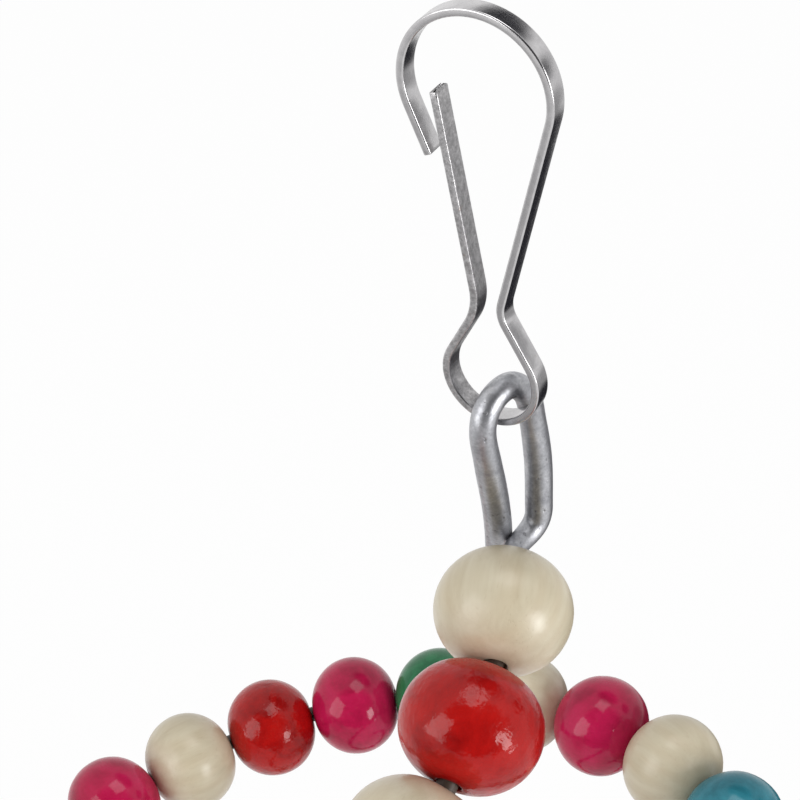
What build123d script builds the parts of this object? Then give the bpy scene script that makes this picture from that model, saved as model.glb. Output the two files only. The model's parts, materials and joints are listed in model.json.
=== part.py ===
"""Bird swing: a coil of stout wire strung with round wooden beads, hung from a flat spring snap hook.

Millimetres, +Z up. The origin is the hanging point, at the top of the inside of the hook's bow.
The hook lies in the XZ plane. The coil winds down clockwise, seen from above, from the eye at its upper end.
"""
import os
from math import asin, atan2, cos, degrees, hypot, pi, radians, sin

from build123d import *

# Beads: one size, turned a little shorter than wide, bored through and eased at the rims.
# The gap is where they are closest, at the rims on the inside of the coil.
BEAD_DIAMETER = 13.0
BEAD_LENGTH = 11.4
BEAD_HOLE = 3.2
BEAD_RIM = 0.3
BEAD_EASE = 0.2
BEAD_GAP = 0.12
BEAD_COUNT = 56

# Wire and coil, to the middle of the wire
WIRE_DIAMETER = 2.5
COIL_RADIUS = 48.0
COIL_PITCH = 79.0
WIRE_LEAD = 0.6
WIRE_TAIL = 5.0
END_RING_RADIUS = 3.4
END_RING_TURN = 262.0
BIARC_TURN = 90.0

# How the coil hangs: its lean and dip bring the centre of mass under the eye
COIL_AZIMUTH = 9.6
COIL_LEAN = 26.15
COIL_DIP = 5.7
EYE_TO_BEAD = (4.0, -6.2, -20.2)

# Eye: a narrow loop with a round top, whose legs lean back from the beads and draw together
EYE_RADIUS = 3.2
EYE_LEAN = 8.0
EYE_SLOPE = 4.0
EYE_LEG = 10.0
EYE_TAIL = 11.9
EYE_TURN = 69.0
EYE_REST = 0.9
EYE_ASIDE = 0.5

# Hook: one flat strip, bent to a bow above and a small loop below
STRIP_WIDTH = 2.0
STRIP_THICKNESS = 1.0
STRIP_EDGE = 0.3
BOW_RADIUS = 7.2
NOSE_TIP = (-4.9, -14.0)
WAIST_HEIGHT = -28.4
WAIST_RIGHT = 2.6
WAIST_LEFT = 0.5
WAIST_BEND = 3.0
LOOP_RADIUS = 4.5
LOOP_CENTRE = (1.8, -35.5)

# Spring gate: the strip's other end, which flexes from the left side of the waist
GATE_TIP = (-3.9, -8.0)
GATE_GAP = 0.05

TURN = 2 * pi
SAMPLE_STEP = 0.8


def upright(point):
    """A point of the hook's plane, given as (x, z)."""
    return Vector(point[0], 0, point[1])


def touch(point, centre, radius, side):
    """Where a line from a point touches a circle, on one side or the other; all as (x, z)."""
    dx = centre[0] - point[0]
    dz = centre[1] - point[1]
    away = hypot(dx, dz)
    reach = (away * away - radius * radius) ** 0.5
    heading = atan2(dz, dx) + side * asin(radius / away)
    return (point[0] + reach * cos(heading), point[1] + reach * sin(heading))


def arc_round(start, through, end):
    """An arc in the hook's plane."""
    return ThreePointArc(upright(start), upright(through), upright(end))


def strip(path, start, heading):
    """Flat strip along a path in the hook's plane, with eased edges."""
    section = Plane(origin=start, x_dir=(0, 1, 0), z_dir=heading)
    profile = section * RectangleRounded(STRIP_WIDTH, STRIP_THICKNESS, STRIP_EDGE)
    return sweep(profile, path=path)


WAIST_HINGE = (WAIST_LEFT, WAIST_HEIGHT)
HINGE_ROUND = STRIP_THICKNESS / 2


def hook_body():
    """Nose, bow, back, waist and lower loop, up to the round end that the gate turns about."""
    bow = (0, STRIP_THICKNESS / 2 - BOW_RADIUS)
    bow_top = (0, STRIP_THICKNESS / 2)
    loop_bottom = (LOOP_CENTRE[0], LOOP_CENTRE[1] - LOOP_RADIUS)
    waist = (WAIST_RIGHT, WAIST_HEIGHT)
    bow_left = touch(NOSE_TIP, bow, BOW_RADIUS, 1)
    bow_right = touch(waist, bow, BOW_RADIUS, -1)
    loop_right = touch(waist, LOOP_CENTRE, LOOP_RADIUS, 1)
    loop_left = touch(WAIST_HINGE, LOOP_CENTRE, LOOP_RADIUS, -1)
    back = FilletPolyline(upright(bow_right), upright(waist), upright(loop_right), radius=WAIST_BEND)
    edges = [
        Line(upright(NOSE_TIP), upright(bow_left)),
        arc_round(bow_left, bow_top, bow_right),
        *back.edges(),
        arc_round(loop_right, loop_bottom, loop_left),
        Line(upright(loop_left), upright(WAIST_HINGE)),
    ]
    body = strip(Wire(edges), upright(NOSE_TIP), upright(bow_left) - upright(NOSE_TIP))
    pin = Plane(origin=upright(WAIST_HINGE), z_dir=(0, 1, 0)) * Cylinder(HINGE_ROUND, STRIP_WIDTH)
    return body + pin


def spring_gate():
    """The straight spring arm, from just clear of the hinge to its tip inside the nose."""
    hinge = upright(WAIST_HINGE)
    tip = upright(GATE_TIP)
    heading = (tip - hinge).normalized()
    foot = hinge + heading * (HINGE_ROUND + GATE_GAP)
    return strip(Wire([Line(foot, tip)]), foot, heading)


EYE_TOP = Vector(
    LOOP_CENTRE[0] + EYE_ASIDE,
    0,
    LOOP_CENTRE[1] - LOOP_RADIUS + STRIP_THICKNESS / 2 + EYE_REST + WIRE_DIAMETER / 2,
)
EYE_ACROSS = Vector(cos(radians(EYE_TURN)), sin(radians(EYE_TURN)), 0)
FIRST_BEAD = EYE_TOP + Vector(*EYE_TO_BEAD)
HANG = (
    Pos(FIRST_BEAD)
    * Rotation(0, 0, COIL_AZIMUTH)
    * Rotation(0, -COIL_LEAN, 0)
    * Rotation(COIL_DIP, 0, 0)
    * Pos(-COIL_RADIUS, 0, 0)
)


def hung(local):
    """A point of the upright coil, carried to where the coil hangs."""
    return (HANG * Pos(local)).position


def hung_direction(local):
    """A direction of the upright coil, carried to where the coil hangs."""
    return (hung(local) - hung(Vector(0, 0, 0))).normalized()


def coil_point(angle):
    """Middle of the wire on the coil, by the angle wound from the first bead."""
    return hung(Vector(COIL_RADIUS * cos(angle), -COIL_RADIUS * sin(angle), -COIL_PITCH * angle / TURN))


def coil_tangent(angle):
    """Direction of the wire as it winds down."""
    return hung_direction(Vector(-COIL_RADIUS * sin(angle), -COIL_RADIUS * cos(angle), -COIL_PITCH / TURN))


def coil_inward(angle):
    """Direction from the wire to the coil's axis."""
    return hung_direction(Vector(-cos(angle), sin(angle), 0))


COIL_SLANT = hypot(COIL_RADIUS, COIL_PITCH / TURN)
WIRE_BEND = COIL_SLANT ** 2 / COIL_RADIUS
BEAD_FACE = BEAD_HOLE / 2 + BEAD_RIM
BEAD_SPACING = (BEAD_LENGTH + BEAD_GAP) / (1 - BEAD_FACE / WIRE_BEND)
BEAD_ANGLE = BEAD_SPACING / COIL_SLANT


def biarc(start, start_heading, end, end_heading):
    """Two arcs that join two points smoothly in the given directions."""
    span = end - start
    both = start_heading + end_heading
    spread = 2 * (1 - start_heading.dot(end_heading))
    along = span.dot(both)
    reach = ((along * along + spread * span.dot(span)) ** 0.5 - along) / spread
    first = start + start_heading * reach
    second = end - end_heading * reach
    middle = (first + second) * 0.5
    return [
        TangentArc(start, middle, tangent=start_heading),
        TangentArc(middle, end, tangent=second - first),
    ]


def eye_point(across, up):
    """A point of the eye's plane."""
    return EYE_TOP + EYE_ACROSS * across + Vector(0, 0, up)


def eye_edges():
    """The short tail leg, the round top and the long leg, down to where it bends to the beads."""
    tail = radians(EYE_LEAN + EYE_SLOPE)
    leg = radians(EYE_LEAN - EYE_SLOPE)
    tail_down = EYE_ACROSS * sin(tail) - Vector(0, 0, cos(tail))
    leg_down = EYE_ACROSS * sin(leg) - Vector(0, 0, cos(leg))
    tail_top = eye_point(-EYE_RADIUS * cos(tail), -EYE_RADIUS - EYE_RADIUS * sin(tail))
    leg_top = eye_point(EYE_RADIUS * cos(leg), -EYE_RADIUS + EYE_RADIUS * sin(leg))
    leg_end = leg_top + leg_down * EYE_LEG
    edges = [
        Line(tail_top + tail_down * EYE_TAIL, tail_top),
        ThreePointArc(tail_top, EYE_TOP, leg_top),
        Line(leg_top, leg_end),
    ]
    return edges, -tail_down, leg_end, leg_down


def end_ring(start, heading, sideways):
    """The closed ring that keeps the beads on the lower end."""
    middle = start + sideways * END_RING_RADIUS

    def at(turn):
        return middle - sideways * (END_RING_RADIUS * cos(turn)) + heading * (END_RING_RADIUS * sin(turn))

    whole = radians(END_RING_TURN)
    return ThreePointArc(start, at(whole / 2), at(whole))


def wire_path():
    """The whole wire: eye, bend, coil and end ring. Returns its edges and its first heading."""
    edges, heading, leg_end, leg_down = eye_edges()
    first = -(BEAD_LENGTH / 2 + WIRE_LEAD) / COIL_SLANT
    last = (BEAD_COUNT - 1) * BEAD_ANGLE + (BEAD_LENGTH / 2 + WIRE_TAIL) / COIL_SLANT
    edges += biarc(leg_end, leg_down, coil_point(first), coil_tangent(first))
    spans = round((last - first) / radians(BIARC_TURN))
    turn = (last - first) / spans
    for i in range(spans):
        start = first + i * turn
        end = start + turn
        edges += biarc(coil_point(start), coil_tangent(start), coil_point(end), coil_tangent(end))
    heading_last = coil_tangent(last)
    axis = hung_direction(Vector(0, 0, -1))
    sideways = (axis - heading_last * axis.dot(heading_last)).normalized()
    edges.append(end_ring(coil_point(last), heading_last, sideways))
    return edges, heading


def bead_wire():
    """One unbroken round wire."""
    edges, heading = wire_path()
    path = Wire(edges)
    section = Plane(origin=edges[0] @ 0, z_dir=heading)
    tube = sweep(section * Circle(WIRE_DIAMETER / 2), path=path)
    whole = pi * WIRE_DIAMETER ** 2 / 4 * path.length
    print("wire length", round(path.length, 1))
    print("volume over section times length", round(tube.volume / whole, 5))
    print("least bend radius", round(min(e.radius for e in edges if e.geom_type == GeomType.CIRCLE), 2))
    print("least gap of the wire to itself", round(least_gap(path), 2))
    return tube


def least_gap(path):
    """Least gap between stretches of the wire that are more than a bend apart."""
    count = round(path.length / SAMPLE_STEP)
    points = [path @ (i / count) for i in range(count + 1)]
    apart = round(TURN * END_RING_RADIUS / 2 / SAMPLE_STEP)
    least = min(
        (points[i] - points[j]).length for i in range(len(points)) for j in range(i + apart, len(points))
    )
    return least - WIRE_DIAMETER


def bead_place(index):
    """Where a bead sits: its hole lies along the wire, shifted by half the wire's bow within the bead."""
    angle = index * BEAD_ANGLE
    shift = BEAD_LENGTH ** 2 / (8 * WIRE_BEND) / 2
    centre = coil_point(angle) + coil_inward(angle) * shift
    return Plane(origin=centre, x_dir=coil_inward(angle), z_dir=coil_tangent(angle))


def bead():
    """A bead turned about its hole, with eased rims."""
    bore = BEAD_HOLE / 2
    rim = BEAD_FACE
    half = BEAD_LENGTH / 2
    outline = [
        ThreePointArc((rim, -half), (BEAD_DIAMETER / 2, 0), (rim, half)),
        Line((rim, half), (bore, half)),
        Line((bore, half), (bore, -half)),
        Line((bore, -half), (rim, -half)),
    ]
    profile = make_face(outline)
    profile = fillet(profile.vertices().group_by(Axis.X)[0], BEAD_EASE)
    return revolve(Plane.XZ * profile, Axis.Z)


os.makedirs("parts", exist_ok=True)
export_step(hook_body(), "parts/hook_body.step")
export_step(spring_gate(), "parts/spring_gate.step")
export_step(bead_wire(), "parts/bead_wire.step")
one_bead = bead()
for number in range(BEAD_COUNT):
    export_step(bead_place(number) * one_bead, f"parts/bead_{number + 1:02d}.step")
print("turns", round(BEAD_COUNT * BEAD_ANGLE / TURN, 2))
print("slant", round(degrees(atan2(COIL_PITCH / TURN, COIL_RADIUS)), 1))
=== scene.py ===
"""Bird swing: beads on a coil of galvanised wire, hung by its eye from a flat spring snap hook.

Metres, in the frame of the CAD model. The part's own lengths are written in millimetres and scaled by MM.
"""
import json
import math
import random

import bpy
from mathutils import Matrix, Vector, noise


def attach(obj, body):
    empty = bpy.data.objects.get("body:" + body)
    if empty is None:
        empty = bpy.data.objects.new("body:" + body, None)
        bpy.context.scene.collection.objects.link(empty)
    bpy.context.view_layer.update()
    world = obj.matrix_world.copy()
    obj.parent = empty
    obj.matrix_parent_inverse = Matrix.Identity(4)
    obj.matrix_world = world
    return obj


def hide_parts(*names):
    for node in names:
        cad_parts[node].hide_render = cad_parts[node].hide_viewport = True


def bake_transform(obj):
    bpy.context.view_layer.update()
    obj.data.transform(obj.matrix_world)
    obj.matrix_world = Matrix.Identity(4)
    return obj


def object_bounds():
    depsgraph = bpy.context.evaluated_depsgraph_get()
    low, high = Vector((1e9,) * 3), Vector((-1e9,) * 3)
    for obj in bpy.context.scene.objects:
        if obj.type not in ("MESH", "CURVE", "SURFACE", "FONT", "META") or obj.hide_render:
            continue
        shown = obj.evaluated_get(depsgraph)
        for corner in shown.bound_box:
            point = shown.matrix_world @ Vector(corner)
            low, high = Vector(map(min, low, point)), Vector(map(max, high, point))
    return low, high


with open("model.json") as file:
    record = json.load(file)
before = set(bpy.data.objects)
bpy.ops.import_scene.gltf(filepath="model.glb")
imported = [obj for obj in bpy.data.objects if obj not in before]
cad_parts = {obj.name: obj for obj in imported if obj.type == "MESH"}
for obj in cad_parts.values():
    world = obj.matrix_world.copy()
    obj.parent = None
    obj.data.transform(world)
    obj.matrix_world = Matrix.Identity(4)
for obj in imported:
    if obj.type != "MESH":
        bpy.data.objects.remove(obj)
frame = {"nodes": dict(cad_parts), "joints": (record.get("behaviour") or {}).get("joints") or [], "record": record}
cad_low, cad_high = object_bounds()
MM = 0.001

# Sizes shared with the CAD model, in millimetres
BEAD_RADIUS, BEAD_LENGTH, BEAD_BORE, BEAD_RIM, BEAD_GAP = 6.5, 11.4, 1.6, 0.3, 0.12
WIRE_RADIUS = 1.25
COIL_RADIUS, COIL_PITCH = 48.0, 79.0
WIRE_TAIL = 5.0
END_RING_RADIUS, END_RING_TURN = 3.4, 262.0
COIL_AZIMUTH, COIL_LEAN, COIL_DIP = 9.6, 26.15, 5.7
EYE_TO_BEAD = Vector((4.0, -6.2, -20.2))
EYE_TURN = 69.0
EYE_TOP = Vector((2.3, 0.0, -37.35))
WAIST_HEIGHT, WAIST_BEND = -28.4, 3.0

# Beads as turned: their ends, snug bores, fuller middles and unevenness, with lumps counted per millimetre
BEAD_GROWTH, SNUG_BORE, SNUG_RIM = 0.06, 1.20, 0.18
BEAD_SWELL, LARGE_BEADS = 0.10, {"bead_02": 0.32, "bead_03": 0.25}
NATURAL_UNEVEN, PAINTED_UNEVEN = 0.05, 0.09
BROAD_LUMPS, FINE_LUMPS = 0.16, 0.55
FINE_LUMP_SHARE, SUNK_SHARE = 0.22, 0.25

# Wire as bent by hand, within a millimetre or two of the CAD model; the eye's route is (across, through, up)
ARCH_RADIUS, LEG_RADIUS, CORE_RADIUS = 1.24, 1.34, 1.00
ARCH_DEPTH, LEG_DEPTH = 4.0, 9.0
CORE_STANDS_OUT, CORE_TAPER = 1.2, 1.0
BEND_START, BEND_END = 3.2, 2.0
WIRE_LUMPS, WIRE_UNEVEN_SHARE = 0.35, 0.012
EYE_ROUTE = (
    (2.05, -2.2, -21.4), (0.60, -0.75, -16.9), (-0.75, 0.20, -12.0), (-2.05, 0.70, -7.0), (-2.78, 0.75, -3.1),
    (-2.32, 0.65, -0.8), (-0.80, 0.45, 0.45), (1.15, 0.35, 0.38), (2.92, 0.35, -1.68), (3.75, 0.35, -5.2),
    (4.48, 0.40, -10.2), (4.50, 0.70, -15.7),
)

# Strip as bent, within half a millimetre of the CAD model; points are (x, z)
STRIP_WIDTH, STRIP_THICKNESS, STRIP_ROUND = 2.0, 0.76, 0.16
BOW_RADIUS, BOW_CENTRE = 7.0, (-0.2, -6.85)
NOSE_TIP, GATE_TIP = (-4.6, -14.0), (-4.0, -8.0)
WAIST_RIGHT, WAIST_LEFT = 2.35, 0.2
LOOP_RADIUS, LOOP_CENTRE = 4.5, (1.65, -35.7)
ARM_BEND, FLEX_REACH = 6.0, 3.0

# Camera, fitted to the picture
FOCAL_PIXELS, PICTURE_PIXELS = 2109.3, 800
SENSOR_WIDTH, CLIP_NEAR, CLIP_FAR = 36.0, 0.01, 20.0
VIEW_AZIMUTH, VIEW_TILT, VIEW_ROLL = 30.69, 37.65, -1.14
VIEW_TARGET = Vector((0, 0, -40.0))
VIEW_SHIFT, VIEW_DEPTH = (7.17, -0.65), 193.08

# Colours
WOOD_DARK, WOOD_MAIN, WOOD_PALE = (0.54, 0.465, 0.325), (0.60, 0.53, 0.385), (0.645, 0.58, 0.435)
WOOD_RING, WOOD_PORE = (0.52, 0.40, 0.25), (0.40, 0.28, 0.16)
ZINC_DARK, ZINC_MAIN, ZINC_PALE = (0.37, 0.375, 0.40), (0.51, 0.515, 0.54), (0.67, 0.675, 0.69)
# Pit colour, and painted shade: the near-black brown of the wire where the beads cover it and in the gaps between
# them
ZINC_PIT, PAINTED_WIRE_SHADE = (0.16, 0.16, 0.17), (0.075, 0.05, 0.035)
NICKEL_DARK, NICKEL_PALE, RUST = (0.50, 0.49, 0.50), (0.64, 0.63, 0.635), (0.30, 0.22, 0.18)
FLOOR_GREY, CARD_GREY, WHITE = (0.82, 0.82, 0.82, 1), (0.03, 0.03, 0.038, 1), (1, 1, 1, 1)

# Each paint's deep, main and pale colour, its wrinkles' depth in millimetres and the fine ones' share of it
PAINTS = {
    "bead_red": ((0.25, 0.002, 0.002), (0.40, 0.005, 0.004), (0.48, 0.009, 0.007), 0.14, 0.50),
    "bead_pink": ((0.32, 0.004, 0.040), (0.46, 0.008, 0.062), (0.53, 0.014, 0.085), 0.05, 0.10),
    "bead_green": ((0.008, 0.09, 0.035), (0.018, 0.16, 0.062), (0.03, 0.21, 0.085), 0.05, 0.10),
    "bead_blue": ((0.016, 0.13, 0.17), (0.028, 0.20, 0.26), (0.042, 0.26, 0.33), 0.05, 0.10),
}

# How much of each mark shows, how far apart the beads' patterns lie, and how much rougher scuffed plate is
RING_SHARE, PORE_SHARE, GRAIN_SHARE, PIT_SHARE = 0.16, 0.16, 0.25, 0.6
COAT_WRINKLE_SHARE = 0.9
PATTERN_SPREAD = 60.0
SCUFF_ROUGHNESS = 0.08


# Shader nodes


def add(tree, kind, inputs=(), **settings):
    """A shader node. An input that is given a socket is linked to it, and any other value is set."""
    made = tree.nodes.new("ShaderNode" + kind)
    for key, value in settings.items():
        setattr(made, key, value)
    for key, value in dict(inputs).items():
        if isinstance(value, bpy.types.NodeSocket):
            tree.links.new(value, made.inputs[key])
        else:
            made.inputs[key].default_value = value
    return made


def emptied_tree(made):
    """The node tree of a new material or world, with nothing in it."""
    made.use_nodes = True
    made.node_tree.nodes.clear()
    return made.node_tree


def feed(tree, shader, inputs):
    """Links sockets to a shader's named inputs."""
    for key, socket in inputs.items():
        tree.links.new(socket, shader.inputs[key])


def math_node(tree, operation, a, b):
    """One sum with two values."""
    return add(tree, "Math", {0: a, 1: b}, operation=operation).outputs[0]


def stretch(tree, vector, by):
    """A vector times another, part by part."""
    return add(tree, "VectorMath", {0: vector, 1: by}, operation="MULTIPLY").outputs[0]


def mix(tree, factor, under, over, blend="MIX"):
    """A colour over another; the upper one is a socket or (red, green, blue)."""
    over = (*over, 1) if isinstance(over, tuple) else over
    return add(tree, "Mix", {0: factor, 6: under, 7: over}, data_type="RGBA", blend_type=blend).outputs[2]


def ramp(tree, factor, *stops):
    """A colour ramp through (place, colour) stops."""
    made = add(tree, "ValToRGB", {0: factor})
    points = made.color_ramp.elements
    while len(points) < len(stops):
        points.new(0.5)
    for point, (place, colour) in zip(points, stops):
        point.position = place
        point.color = (*colour, 1)
    return made.outputs[0]


def grey_ramp(tree, factor, *stops):
    """A ramp of plain values through (place, value) stops."""
    return ramp(tree, factor, *((place, (value,) * 3) for place, value in stops))


def noise_node(tree, vector, scale, detail=4.0, roughness=0.55, w=0.0, distortion=0.0):
    """Noise whose scale is in features per millimetre."""
    inputs = {"Vector": vector, "W": w, "Scale": scale}
    inputs |= {"Detail": detail, "Roughness": roughness, "Distortion": distortion}
    return add(tree, "TexNoise", inputs, noise_dimensions="4D").outputs[0]


def bump(tree, height, distance, normal=None):
    """Relief of a height that runs from 0 to 1, with its depth in millimetres."""
    inputs = {"Height": height, "Strength": 1.0, "Distance": distance * MM}
    if normal is not None:
        inputs["Normal"] = normal
    return add(tree, "Bump", inputs).outputs[0]


def material(name, **sockets):
    """A material with a principled shader, its node tree, and coordinates in millimetres."""
    made = bpy.data.materials.new(name)
    tree = emptied_tree(made)
    shader = add(tree, "BsdfPrincipled", {key.replace("_", " "): value for key, value in sockets.items()})
    add(tree, "OutputMaterial", {0: shader.outputs[0]})
    place = add(tree, "TexCoord").outputs["Object"]
    return made, tree, shader, stretch(tree, place, (1 / MM,) * 3)


def own_pattern(tree):
    """A value of each object's own, which moves its pattern."""
    return math_node(tree, "MULTIPLY", add(tree, "ObjectInfo").outputs["Random"], PATTERN_SPREAD)


# Finishes


def bead_natural():
    """Pale lacquered wood, with its grain along the hole."""
    made, tree, shader, place = material("bead_natural", Coat_Weight=0.30, Coat_Roughness=0.24, IOR=1.45)
    own = own_pattern(tree)
    along, far_along = (stretch(tree, place, (1.0, 1.0, share)) for share in (0.10, 0.05))
    grain = noise_node(tree, along, scale=0.55, detail=5.0, roughness=0.6, w=own, distortion=0.4)
    pores = noise_node(tree, far_along, scale=4.5, detail=2.0, roughness=0.5, w=own)
    waves = {"Vector": stretch(tree, place, (1.0, 0.7, 0.16)), "Phase Offset": own}
    waves |= {"Scale": 0.16, "Distortion": 5.0, "Detail": 2.0}
    rings = add(tree, "TexWave", waves, bands_direction="X").outputs["Fac"]
    streaks = grey_ramp(tree, pores, (0.60, 0.0), (0.74, 1.0))
    colour = ramp(tree, grain, (0.30, WOOD_DARK), (0.5, WOOD_MAIN), (0.7, WOOD_PALE))
    colour = mix(tree, math_node(tree, "MULTIPLY", rings, RING_SHARE), colour, WOOD_RING)
    colour = mix(tree, math_node(tree, "MULTIPLY", streaks, PORE_SHARE), colour, WOOD_PORE)
    dents = noise_node(tree, place, scale=0.45, detail=3.0, roughness=0.5, w=own)
    runs = noise_node(tree, place, scale=0.35, detail=2.0, roughness=0.5, w=own)
    feed(tree, shader, {
        "Base Color": colour,
        "Roughness": grey_ramp(tree, grain, (0.3, 0.42), (0.7, 0.30)),
        "Normal": bump(tree, dents, 0.05, bump(tree, streaks, -0.012)),
        "Coat Normal": bump(tree, runs, 0.05),
    })
    return made


def bead_painted(name, deep, main, pale, wrinkle, fine_share):
    """Gloss lacquer over wood: thin over the grain, gathered into soft wrinkles."""
    gloss = {"Coat_Weight": 0.45, "Coat_Roughness": 0.09, "IOR": 1.3, "Specular_IOR_Level": 0.12}
    made, tree, shader, place = material(name, **gloss)
    own = own_pattern(tree)
    patches = noise_node(tree, place, scale=0.22, roughness=0.6, w=own, distortion=0.6)
    grain = noise_node(tree, stretch(tree, place, (1.0, 1.0, 0.08)), scale=1.6, detail=3.0, w=own)
    streaks = grey_ramp(tree, grain, (0.45, 0.0), (0.75, 1.0))
    colour = ramp(tree, patches, (0.32, deep), (0.5, main), (0.70, pale))
    colour = mix(tree, math_node(tree, "MULTIPLY", streaks, GRAIN_SHARE), colour, deep)
    waves = noise_node(tree, place, scale=0.42, detail=3.0, roughness=0.5, w=own, distortion=0.5)
    fine = noise_node(tree, place, scale=1.3, detail=3.0, roughness=0.5, w=own)
    relief = bump(tree, fine, wrinkle * fine_share, bump(tree, waves, wrinkle))
    coat = bump(tree, fine, wrinkle * fine_share, bump(tree, waves, wrinkle * COAT_WRINKLE_SHARE))
    feed(tree, shader, {
        "Base Color": colour,
        "Roughness": grey_ramp(tree, patches, (0.3, 0.34), (0.7, 0.24)),
        "Normal": bump(tree, grain, 0.010, relief),
        "Coat Normal": coat,
    })
    return made


def galvanised():
    """Dull zinc on drawn wire: soft spangle, fine grain and small pits, with painted shade where beads cover it:
    dark and not metallic.
    """
    made, tree, shader, place = material("wire")
    spangle = noise_node(tree, place, scale=0.55, detail=5.0, roughness=0.65, w=1.0, distortion=0.8)
    grain = noise_node(tree, place, scale=3.4, roughness=0.7, w=2.0)
    spots = noise_node(tree, place, scale=1.5, detail=2.0, roughness=0.5, w=3.0)
    pits = grey_ramp(tree, spots, (0.66, 0.0), (0.72, 1.0))
    # Painted shade: where the beads cover the wire, it is coloured near-black and made non-metallic, like the
    # shadow between beads
    painted_shade = add(tree, "Attribute", attribute_name="painted_shade").outputs["Fac"]
    colour = ramp(tree, spangle, (0.30, ZINC_DARK), (0.55, ZINC_MAIN), (0.75, ZINC_PALE))
    colour = mix(tree, 1.0, colour, grey_ramp(tree, grain, (0.35, 0.74), (0.65, 1.0)), "MULTIPLY")
    colour = mix(tree, math_node(tree, "MULTIPLY", pits, PIT_SHARE), colour, ZINC_PIT)
    colour = mix(tree, painted_shade, colour, PAINTED_WIRE_SHADE)
    feed(tree, shader, {
        "Base Color": colour,
        "Metallic": math_node(tree, "SUBTRACT", 1.0, painted_shade),
        "Roughness": grey_ramp(tree, spangle, (0.3, 0.50), (0.75, 0.36)),
        "Normal": bump(tree, spangle, 0.05, bump(tree, grain, 0.014, bump(tree, pits, -0.03))),
    })
    return made


def nickel(name, dull, wear, rust):
    """Plate over rolled strip: rolling lines along it, scuffs, a mottled satin and faint rust specks."""
    made, tree, shader, place = material(name, Metallic=1.0)
    chart = add(tree, "UVMap", uv_map="strip").outputs[0]
    lines = noise_node(tree, stretch(tree, chart, (0.35, 14.0, 1.0)), scale=1.0, roughness=0.6, w=5.0)
    scuffs = noise_node(tree, place, scale=0.6, detail=5.0, roughness=0.65, w=6.0)
    mottle = noise_node(tree, place, scale=2.6, roughness=0.7, w=9.0)
    spots = noise_node(tree, place, scale=1.1, detail=3.0, roughness=0.6, w=7.0)
    specks = grey_ramp(tree, spots, (0.66, 0.0), (0.74, 1.0))
    dents = noise_node(tree, place, scale=0.28, detail=2.0, roughness=0.5, w=8.0)
    colour = ramp(tree, scuffs, (0.3, NICKEL_DARK), (0.7, NICKEL_PALE))
    colour = mix(tree, wear, colour, grey_ramp(tree, mottle, (0.38, 0.50), (0.62, 1.0)), "MULTIPLY")
    colour = mix(tree, math_node(tree, "MULTIPLY", specks, rust), colour, RUST)
    feed(tree, shader, {
        "Base Color": colour,
        "Roughness": grey_ramp(tree, scuffs, (0.3, dull + SCUFF_ROUGHNESS), (0.7, dull)),
        "Normal": bump(tree, mottle, 0.012 * wear, bump(tree, dents, 0.08, bump(tree, lines, 0.006))),
    })
    return made


SLOTS = {
    "hook_plate": nickel("hook_plate", dull=0.17, wear=0.15, rust=0.15),
    "wire": galvanised(),
    "bead_natural": bead_natural(),
}
SLOTS |= {name: bead_painted(name, *paint) for name, paint in PAINTS.items()}


# Meshes


def piece(name, verts, faces, slot):
    """A smooth mesh object made of millimetre points, finished as one of the record's slots."""
    mesh = bpy.data.meshes.new(name)
    mesh.from_pydata([Vector(v) * MM for v in verts], [], faces)
    mesh.validate()
    for polygon in mesh.polygons:
        polygon.use_smooth = True
    mesh.materials.append(SLOTS[slot])
    made = bpy.data.objects.new(name, mesh)
    bpy.context.scene.collection.objects.link(made)
    return made


def lofted(rings):
    """The points of equal rings in one list, and the quads between the rings."""
    count = len(rings[0])
    faces = []
    for i in range(len(rings) - 1):
        for j in range(count):
            k = (j + 1) % count
            faces.append((i * count + j, i * count + k, (i + 1) * count + k, (i + 1) * count + j))
    return [p for ring in rings for p in ring], faces


def share_between(value, low, high):
    """How far a value has come from low to high, from 0 to 1."""
    return min(1.0, max(0.0, (value - low) / (high - low)))


# Beads

BEAD_SIDES, BEAD_RINGS, BORE_RINGS, EASE_RINGS = 56, 30, 5, 5
BEAD_SEED, SEED_SPREAD = 7, 50


def bead_profile(swell_out):
    """Radius and height round the turned outline: the outside, the eased rims and the bore."""
    half = BEAD_LENGTH / 2 + BEAD_GROWTH
    widest = BEAD_RADIUS + swell_out
    rim = SNUG_BORE + SNUG_RIM
    chord = widest - rim
    swell = (half * half + chord * chord) / (2 * chord)
    middle = widest - swell
    reach = math.atan2(half, rim - middle)
    outline = []
    for i in range(BEAD_RINGS + 1):
        turn = reach - 2 * reach * i / BEAD_RINGS
        outline.append((middle + swell * math.cos(turn), swell * math.sin(turn)))
    for i in range(1, EASE_RINGS + 1):
        turn = math.pi / 2 * i / EASE_RINGS
        outline.append((rim - SNUG_RIM * math.sin(turn), -half + SNUG_RIM * (1 - math.cos(turn))))
    for i in range(1, BORE_RINGS + 1):
        outline.append((SNUG_BORE, (half - SNUG_RIM) * (2 * i / BORE_RINGS - 1)))
    for i in range(1, EASE_RINGS):
        turn = math.pi / 2 * (1 - i / EASE_RINGS)
        outline.append((rim - SNUG_RIM * math.sin(turn), half - SNUG_RIM * (1 - math.cos(turn))))
    return outline


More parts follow.
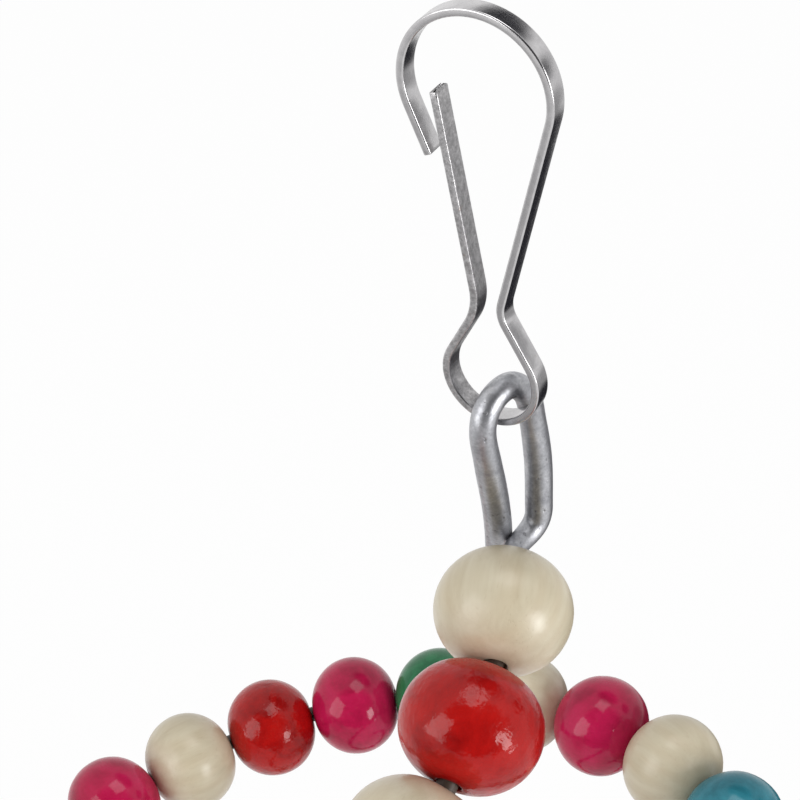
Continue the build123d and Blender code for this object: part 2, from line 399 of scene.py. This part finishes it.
def bead_mesh(name, slot, swell_out, chance):
    """A bead with the small unevenness of turning and dipping."""
    seed = Vector([chance.uniform(0, SEED_SPREAD) for _ in range(3)])
    uneven = NATURAL_UNEVEN if slot == "bead_natural" else PAINTED_UNEVEN
    rings = []
    for radius, height in bead_profile(swell_out):
        ring = []
        for j in range(BEAD_SIDES):
            turn = 2 * math.pi * j / BEAD_SIDES
            p = Vector((radius * math.cos(turn), radius * math.sin(turn), height))
            outward = p.length / BEAD_RADIUS
            broad, fine = (noise.noise(p * lumps + seed) for lumps in (BROAD_LUMPS, FINE_LUMPS))
            lift = uneven * (broad + FINE_LUMP_SHARE * fine)
            ring.append(p + p.normalized() * (lift * outward - uneven * SUNK_SHARE))
        rings.append(ring)
    rings.append(rings[0])
    verts, faces = lofted(rings)
    count = len(verts) - BEAD_SIDES
    faces = [tuple(i % count for i in face) for face in faces]
    return piece(name, verts[:count], faces, slot)


chance = random.Random(BEAD_SEED)
slot_of = {s["node"]: s["material_slot"] for s in frame["record"]["subparts"]}
for joint in frame["joints"]:
    node = joint["child"]
    if not node.startswith("bead_"):
        continue
    made = bead_mesh("wooden_" + node, slot_of[node], LARGE_BEADS.get(node, BEAD_SWELL), chance)
    heading = Vector(joint["axis"]).to_track_quat("Z", "X").to_matrix().to_4x4()
    spin = Matrix.Rotation(chance.uniform(0, 2 * math.pi), 4, "Z")
    made.matrix_world = Matrix.Translation(joint["pos_m"]) @ heading @ spin
    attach(made, node)
    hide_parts(node)

# Wire

WIRE_SIDES, EYE_STEPS, BEND_STEPS, COIL_STEPS, RING_STEPS = 28, 12, 24, 620, 48
SMALL_TURN = 1e-4
# Rings that ease a cut end: shares of the wire's radius, as wide as the first and as far out as the second
END_CAP_SHARES = ((0.97, 0.0), (0.88, 0.05), (0.45, 0.09), (0.02, 0.10))
COIL_SLANT = math.hypot(COIL_RADIUS, COIL_PITCH / (2 * math.pi))
EYE_ACROSS = Vector((math.cos(math.radians(EYE_TURN)), math.sin(math.radians(EYE_TURN)), 0))
HANG = (
    Matrix.Translation(EYE_TOP + EYE_TO_BEAD)
    @ Matrix.Rotation(math.radians(COIL_AZIMUTH), 4, "Z")
    @ Matrix.Rotation(math.radians(-COIL_LEAN), 4, "Y")
    @ Matrix.Rotation(math.radians(COIL_DIP), 4, "X")
    @ Matrix.Translation((-COIL_RADIUS, 0, 0))
)


def coil_point(angle):
    """The middle of the wire, an angle on from the first bead."""
    drop = COIL_PITCH * angle / (2 * math.pi)
    return HANG @ Vector((COIL_RADIUS * math.cos(angle), -COIL_RADIUS * math.sin(angle), -drop))


def coil_heading(angle):
    """The direction of the wire, an angle on from the first bead."""
    return (coil_point(angle + SMALL_TURN) - coil_point(angle - SMALL_TURN)).normalized()


def curve_between(start, start_pull, end, end_pull, steps):
    """Points on a smooth bend that leaves and arrives along the two pulls, without its first."""
    a, b = start + start_pull, end - end_pull
    points = []
    for i in range(1, steps + 1):
        t = i / steps
        s = 1 - t
        points.append(start * s ** 3 + a * (3 * s * s * t) + b * (3 * s * t * t) + end * t ** 3)
    return points


def through_points(knots, steps):
    """Points on a smooth curve through the knots, with the end stretches carried on straight."""
    knots = [knots[0] * 2 - knots[1], *knots, knots[-1] * 2 - knots[-2]]
    points = []
    for a, b, c, d in zip(knots, knots[1:], knots[2:], knots[3:]):
        start_pull, end_pull = (c - a) / 6, (d - b) / 6
        points += ([] if points else [b]) + curve_between(b, start_pull, c, end_pull, steps)
    return points


def last_bead_end():
    """The angle at which the last bead ends; the gap at the inner side of the bend sets the beads' step."""
    beads = sum(1 for n in frame["nodes"] if n.startswith("bead_") and n != "bead_wire")
    bend = COIL_SLANT ** 2 / COIL_RADIUS
    step = (BEAD_LENGTH + BEAD_GAP) / (1 - (BEAD_BORE + BEAD_RIM) / bend) / COIL_SLANT
    return (beads - 1) * step + BEAD_LENGTH / 2 / COIL_SLANT


def eye_stretch(first):
    """Middle and radius of the wire from its cut end, round the eye and into the first bead's hole."""
    up = Vector((0, 0, 1))
    through = EYE_ACROSS.cross(up)
    knots = [EYE_TOP + EYE_ACROSS * a + through * t + up * u for a, t, u in EYE_ROUTE]
    points = through_points(knots, EYE_STEPS)
    grown = [share_between(EYE_TOP.z - p.z, ARCH_DEPTH, LEG_DEPTH) for p in points]
    radii = [ARCH_RADIUS + (LEG_RADIUS - ARCH_RADIUS) * share for share in grown]
    leave = (points[-1] - points[-2]).normalized() * BEND_START
    arrive = coil_heading(first) * BEND_END
    points += curve_between(points[-1], leave, coil_point(first), arrive, BEND_STEPS)
    radii += [LEG_RADIUS + (CORE_RADIUS - LEG_RADIUS) * i / BEND_STEPS for i in range(1, BEND_STEPS + 1)]
    return points, radii


def end_ring(start, heading):
    """The middle of the wire round its lower end ring."""
    axis = (HANG.to_3x3() @ Vector((0, 0, -1))).normalized()
    aside = (axis - heading * axis.dot(heading)).normalized()
    middle = start + aside * END_RING_RADIUS
    points = []
    for i in range(1, RING_STEPS + 1):
        turn = math.radians(END_RING_TURN) * i / RING_STEPS
        points.append(middle + (heading * math.sin(turn) - aside * math.cos(turn)) * END_RING_RADIUS)
    return points


def wire_points():
    """Middle, radius and share of painted shade all along the wire: cut end, eye, bend, coil and end ring."""
    first, last_bead = -(BEAD_LENGTH / 2 + BEAD_GROWTH) / COIL_SLANT, last_bead_end()
    last = last_bead + WIRE_TAIL / COIL_SLANT
    points, radii = eye_stretch(first)
    covered = [0.0] * len(points)
    for i in range(1, COIL_STEPS + 1):
        angle = first + (last - first) * i / COIL_STEPS
        past = (angle - last_bead) * COIL_SLANT
        grown = share_between(past, CORE_STANDS_OUT, CORE_STANDS_OUT + CORE_TAPER)
        points.append(coil_point(angle))
        radii.append(CORE_RADIUS + (WIRE_RADIUS - CORE_RADIUS) * grown)
        # The painted shade covers the wire under the beads and fades out just past the last one
        covered.append(1.0 - share_between(past, 0.0, CORE_TAPER))
    points += end_ring(points[-1], coil_heading(last))
    radii += [WIRE_RADIUS] * RING_STEPS
    covered += [0.0] * RING_STEPS
    return points, radii, covered


def tube(name, points, radii, slot):
    """A round, slightly uneven tube with softly cut ends."""
    headings = []
    for i in range(len(points)):
        a, b = points[max(i - 1, 0)], points[min(i + 1, len(points) - 1)]
        headings.append((b - a).normalized())
    across = headings[0].orthogonal().normalized()
    rings = []
    for p, heading, radius in zip(points, headings, radii):
        across = (across - heading * across.dot(heading)).normalized()
        other = heading.cross(across)
        ring = []
        for j in range(WIRE_SIDES):
            turn = 2 * math.pi * j / WIRE_SIDES
            out = across * math.cos(turn) + other * math.sin(turn)
            uneven = WIRE_UNEVEN_SHARE * noise.noise((p + out) * WIRE_LUMPS)
            ring.append(p + out * (radius * (1 + uneven)))
        rings.append(ring)
    caps = []
    for end, side in ((0, -1), (-1, 1)):
        p, ahead = points[end], headings[end] * (side * radii[end])
        caps.append([[p + (q - p) * wide + ahead * out for q in rings[end]] for wide, out in END_CAP_SHARES])
    verts, faces = lofted(caps[0][::-1] + rings + caps[1])
    faces.append(tuple(range(WIRE_SIDES))[::-1])
    faces.append(tuple(range(len(verts) - WIRE_SIDES, len(verts))))
    return piece(name, verts, faces, slot)


wire_middle, wire_radii, wire_covered = wire_points()
wire = tube("galvanised_wire", wire_middle, wire_radii, "wire")
# Painted shade: each point gets a mark, 1 where the beads cover the wire, which darkens it there
painted_shade = wire.data.attributes.new("painted_shade", "FLOAT", "POINT")
for vertex, mark in zip(wire.data.vertices, painted_shade.data):
    ring = vertex.index // WIRE_SIDES - len(END_CAP_SHARES)
    mark.value = wire_covered[min(max(ring, 0), len(wire_covered) - 1)]
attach(wire, "coil")
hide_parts("bead_wire")

# Hook

LINE_STEP, NOSE_STEP, ARC_STEP, EDGE_STEPS = 0.8, 0.4, 0.3, 5
# Rings that ease a cut end: share of the thickness, and millimetres out; the width eases less
STRIP_CAP, CAP_WIDTH_SHARE = ((0.94, 0.05), (0.80, 0.08)), 0.35


def touch(point, centre, radius, side):
    """Where a line from a point touches a circle, on one side or the other; all as (x, z)."""
    dx, dz = centre[0] - point[0], centre[1] - point[1]
    away = math.hypot(dx, dz)
    reach = math.sqrt(away * away - radius * radius)
    heading = math.atan2(dz, dx) + side * math.asin(radius / away)
    return (point[0] + reach * math.cos(heading), point[1] + reach * math.sin(heading))


def straight(a, b, step=LINE_STEP):
    """Points from a to b, without the first."""
    count = max(1, round(math.dist(a, b) / step))
    return [(a[0] + (b[0] - a[0]) * i / count, a[1] + (b[1] - a[1]) * i / count) for i in range(1, count + 1)]


def rounded(centre, a, b, clockwise):
    """Points on an arc from a to b, without the first."""
    radius = math.dist(centre, a)
    start = math.atan2(a[1] - centre[1], a[0] - centre[0])
    turn = math.atan2(b[1] - centre[1], b[0] - centre[0]) - start
    turn = turn % (2 * math.pi) - (2 * math.pi if clockwise else 0)
    count = max(2, round(abs(turn) * radius / ARC_STEP))
    angles = [start + turn * i / count for i in range(1, count + 1)]
    return [(centre[0] + radius * math.cos(t), centre[1] + radius * math.sin(t)) for t in angles]


def bent(a, corner, b, radius):
    """Points from a to b round a bent corner, without the first."""
    u, v = Vector(a) - Vector(corner), Vector(b) - Vector(corner)
    u.normalize()
    v.normalize()
    half = u.angle(v) / 2
    back = radius / math.tan(half)
    start, end = Vector(corner) + u * back, Vector(corner) + v * back
    centre = Vector(corner) + (u + v).normalized() * (radius / math.sin(half))
    clockwise = (start - centre).cross(end - centre) < 0
    return straight(a, start) + rounded(centre, start, end, clockwise) + straight(end, b)


def strip_section():
    """Across the strip: (along its width, through its thickness), with rolled edges."""
    w, t = STRIP_WIDTH / 2 - STRIP_ROUND, STRIP_THICKNESS / 2 - STRIP_ROUND
    section = []
    for middle_w, middle_t, start in ((w, t, 0), (-w, t, 90), (-w, -t, 180), (w, -t, 270)):
        for k in range(EDGE_STEPS + 1):
            turn = math.radians(start + 90 / EDGE_STEPS * k)
            section.append((middle_w + STRIP_ROUND * math.cos(turn), middle_t + STRIP_ROUND * math.sin(turn)))
    return section


def strip_cap(end, heading, ring):
    """The rings that ease a cut end of the strip, from the last ring outwards."""
    caps = []
    for share, ahead in STRIP_CAP:
        width_share = 1 - (1 - share) * CAP_WIDTH_SHARE
        cap = []
        for x, y, z in ring:
            thin_x, thin_z = end[0] + (x - end[0]) * share, end[1] + (z - end[1]) * share
            cap.append((thin_x + heading.x * ahead, y * width_share, thin_z + heading.y * ahead))
        caps.append(cap)
    return caps


def strip(name, path):
    """The bent strip along (x, z) points, charted along and around, with its ends closed."""
    section = strip_section()
    rings, lengths, length = [], [], 0.0
    for i, p in enumerate(path):
        a, b = path[max(i - 1, 0)], path[min(i + 1, len(path) - 1)]
        heading = Vector((b[0] - a[0], b[1] - a[1])).normalized()
        out = Vector((-heading.y, heading.x))
        if i:
            length += math.dist(path[i - 1], p)
        lengths.append(length)
        rings.append([(p[0] + out.x * t, w, p[1] + out.y * t) for w, t in section])
    caps = []
    for end, inner in ((0, 1), (-1, -2)):
        a, b = path[end], path[inner]
        heading = Vector((a[0] - b[0], a[1] - b[1])).normalized()
        caps.append(strip_cap(a, heading, rings[end]))
    count = len(STRIP_CAP)
    lengths = [lengths[0]] * count + lengths + [lengths[-1]] * count
    verts, faces = lofted(caps[0][::-1] + rings + caps[1])
    sides = len(section)
    faces.append(tuple(range(sides)))
    faces.append(tuple(range(len(verts) - sides, len(verts)))[::-1])
    made = piece(name, verts, faces, "hook_plate")
    chart = made.data.uv_layers.new(name="strip")
    for polygon in made.data.polygons:
        for loop in polygon.loop_indices:
            v = made.data.loops[loop].vertex_index
            w, t = section[v % sides]
            chart.data[loop].uv = (lengths[v // sides], w + t)
    return made


def hook_paths():
    """Nose, bow, back, waist and loop to the loop's bottom, and from there up the spring arm."""
    waist, hinge = (WAIST_RIGHT, WAIST_HEIGHT), (WAIST_LEFT, WAIST_HEIGHT)
    bow_left, bow_right = touch(NOSE_TIP, BOW_CENTRE, BOW_RADIUS, 1), touch(waist, BOW_CENTRE, BOW_RADIUS, -1)
    loop_right = touch(waist, LOOP_CENTRE, LOOP_RADIUS, 1)
    loop_left = touch(hinge, LOOP_CENTRE, LOOP_RADIUS, -1)
    bottom = (LOOP_CENTRE[0], LOOP_CENTRE[1] - LOOP_RADIUS)
    body = [NOSE_TIP] + straight(NOSE_TIP, bow_left, NOSE_STEP)
    body += rounded(BOW_CENTRE, bow_left, bow_right, True)
    body += bent(bow_right, waist, loop_right, WAIST_BEND)
    body += rounded(LOOP_CENTRE, loop_right, bottom, True)
    arm = [bottom] + rounded(LOOP_CENTRE, bottom, loop_left, True)
    arm += bent(loop_left, hinge, GATE_TIP, ARM_BEND)
    return body, arm


body_path, arm_path = hook_paths()
hook = strip("hook_strip", body_path)
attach(hook, "hook")
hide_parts("hook_body")
arm = strip("spring_arm", arm_path)
arm.data.materials[0] = nickel("hook_plate_satin", dull=0.30, wear=0.9, rust=0.45)
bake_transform(arm)
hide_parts("spring_gate")

# Stage, light and camera, in metres

FLOOR_SIZE, FLOOR_DROP = (6.0, 6.0), 0.05
FLOOR_HEIGHT = cad_low.z - FLOOR_DROP
FLOOR_GLOW_SHARE, WORLD_FILL = 0.97, 0.42
CARD_SOLID_SHARE, CARD_LIFT = 0.45, 0.001
LIGHT_TARGET, CARD_TARGET = Vector((6, -6, -60)) * MM, Vector((2, 0, -25)) * MM

azimuth, tilt, roll = math.radians(VIEW_AZIMUTH), math.radians(VIEW_TILT), math.radians(VIEW_ROLL)
level = Vector((math.cos(azimuth), math.sin(azimuth), 0))
ahead = Vector((-math.sin(azimuth), math.cos(azimuth), 0))
forward = ahead * math.cos(tilt) - Vector((0, 0, math.sin(tilt)))
above = level.cross(forward)
right = level * math.cos(roll) + above * math.sin(roll)
up = above * math.cos(roll) - level * math.sin(roll)


def plane(name, size, matrix, paint):
    """A flat stage piece."""
    x, y = size[0] / 2, size[1] / 2
    mesh = bpy.data.meshes.new(name)
    mesh.from_pydata([(-x, -y, 0), (x, -y, 0), (x, y, 0), (-x, y, 0)], [], [(0, 1, 2, 3)])
    mesh.materials.append(paint)
    made = bpy.data.objects.new(name, mesh)
    bpy.context.scene.collection.objects.link(made)
    made.matrix_world = matrix
    return made


def shown_directly(tree):
    """1 where the camera sees a thing, also in a reflection or through glass, and 0 where it gives light."""
    path = add(tree, "LightPath").outputs
    seen = math_node(tree, "MAXIMUM", path["Is Camera Ray"], path["Is Glossy Ray"])
    return math_node(tree, "MAXIMUM", seen, path["Is Transmission Ray"])


def white_floor():
    """A white floor that shows as white, keeps a soft shadow and is clear from below."""
    paint = bpy.data.materials.new("floor_white")
    tree = emptied_tree(paint)
    diffuse = add(tree, "BsdfDiffuse", {"Color": FLOOR_GREY})
    glow = add(tree, "Emission", {"Color": WHITE, "Strength": 1.0})
    share = math_node(tree, "MULTIPLY", shown_directly(tree), FLOOR_GLOW_SHARE)
    top = add(tree, "MixShader", {0: share, 1: diffuse.outputs[0], 2: glow.outputs[0]})
    below = add(tree, "NewGeometry").outputs["Backfacing"]
    clear = add(tree, "BsdfTransparent")
    both = add(tree, "MixShader", {0: below, 1: top.outputs[0], 2: clear.outputs[0]})
    add(tree, "OutputMaterial", {0: both.outputs[0]})
    plane("floor", FLOOR_SIZE, Matrix.Translation((0, 0, FLOOR_HEIGHT)), paint)


def white_world():
    """White all round where it is seen, and an even fill light."""
    world = bpy.data.worlds.new("studio")
    tree = emptied_tree(world)
    fill = add(tree, "Background", {"Color": WHITE, "Strength": WORLD_FILL})
    show = add(tree, "Background", {"Color": WHITE, "Strength": 1.0})
    both = add(tree, "MixShader", {0: shown_directly(tree), 1: fill.outputs[0], 2: show.outputs[0]})
    add(tree, "OutputWorld", {0: both.outputs[0]})
    bpy.context.scene.world = world


def place_round(target, aside, onward, height, distance):
    """A place at a distance from a target, towards the camera's right, its far side and up."""
    return target + (level * aside + ahead * onward + Vector((0, 0, height))).normalized() * distance


def softbox(name, aside, onward, height, distance, size, power):
    """An area light aimed at the first beads."""
    place = place_round(LIGHT_TARGET, aside, onward, height, distance)
    data = bpy.data.lights.new(name, "AREA")
    data.shape = "RECTANGLE"
    data.size, data.size_y = size
    data.energy = power
    made = bpy.data.objects.new(name, data)
    bpy.context.scene.collection.objects.link(made)
    made.location = place
    made.rotation_mode = "QUATERNION"
    made.rotation_quaternion = (LIGHT_TARGET - place).to_track_quat("-Z", "Y")


def card_paint(name, size, depth):
    """Dark grey that fades away towards the card's edges."""
    paint = bpy.data.materials.new(name)
    tree = emptied_tree(paint)
    grey = add(tree, "BsdfDiffuse", {"Color": CARD_GREY})
    place = add(tree, "TexCoord").outputs["Object"]
    spread = stretch(tree, place, (2 / size[0], 2 / size[1], 0))
    away = add(tree, "VectorMath", {0: spread}, operation="LENGTH").outputs["Value"]
    reach = {"Value": away, "From Min": 1.0, "From Max": CARD_SOLID_SHARE, "To Min": 0.0, "To Max": depth}
    cover = add(tree, "MapRange", reach, interpolation_type="SMOOTHSTEP")
    clear = add(tree, "BsdfTransparent")
    both = add(tree, "MixShader", {0: cover.outputs[0], 1: clear.outputs[0], 2: grey.outputs[0]})
    add(tree, "OutputMaterial", {0: both.outputs[0]})
    return paint


def card(name, size, matrix, depth):
    """A card that only reflections show."""
    made = plane(name, size, matrix, card_paint(name, size, depth))
    made.visible_camera = made.visible_diffuse = made.visible_shadow = False


def dark_card(name, aside, onward, height, distance, size, depth):
    """A card that faces the hook."""
    place = place_round(CARD_TARGET, aside, onward, height, distance)
    turn = (CARD_TARGET - place).to_track_quat("Z", "Y").to_matrix().to_4x4()
    card(name, size, Matrix.Translation(place) @ turn, depth)


def floor_card(name, place, size, depth):
    """A card that lies just above the floor."""
    card(name, size, Matrix.Translation((*place, FLOOR_HEIGHT + CARD_LIFT)), depth)


def add_camera():
    """The camera that took the picture."""
    data = bpy.data.cameras.new("camera")
    data.sensor_width = SENSOR_WIDTH
    data.lens = FOCAL_PIXELS / PICTURE_PIXELS * SENSOR_WIDTH
    data.clip_start, data.clip_end = CLIP_NEAR, CLIP_FAR
    camera = bpy.data.objects.new("camera", data)
    bpy.context.scene.collection.objects.link(camera)
    spot = (VIEW_TARGET - right * VIEW_SHIFT[0] - up * VIEW_SHIFT[1] - forward * VIEW_DEPTH) * MM
    axes = Matrix((right, up, -forward)).transposed().to_4x4()
    camera.matrix_world = Matrix.Translation(spot) @ axes
    bpy.context.scene.camera = camera


white_floor()
white_world()
softbox("softbox_right", aside=0.75, onward=-0.66, height=0.10, distance=0.55, size=(0.20, 0.30), power=1.75)
softbox("softbox_left", aside=-0.84, onward=-0.48, height=0.35, distance=0.55, size=(0.34, 0.44), power=1.5)
softbox("softbox_top", aside=0.1, onward=0.1, height=1.0, distance=0.75, size=(0.4, 0.4), power=1.3)
dark_card("card_near", aside=0.0, onward=-1.0, height=0.65, distance=0.75, size=(3.6, 3.0), depth=0.95)
dark_card("card_over", aside=0.36, onward=0.58, height=0.72, distance=0.35, size=(0.46, 0.30), depth=1.0)
dark_card("card_shoulder", aside=0.95, onward=0.23, height=0.22, distance=0.30, size=(0.16, 0.14), depth=0.9)
dark_card("card_right", aside=0.88, onward=0.27, height=-0.38, distance=0.30, size=(0.24, 0.20), depth=0.6)
dark_card("card_below", aside=-0.70, onward=-0.38, height=-0.61, distance=0.22, size=(0.16, 0.16), depth=0.5)
floor_card("card_floor", place=(0.11, 0.27), size=(0.44, 0.44), depth=1.0)
add_camera()
bpy.context.scene.view_settings.view_transform = "Standard"
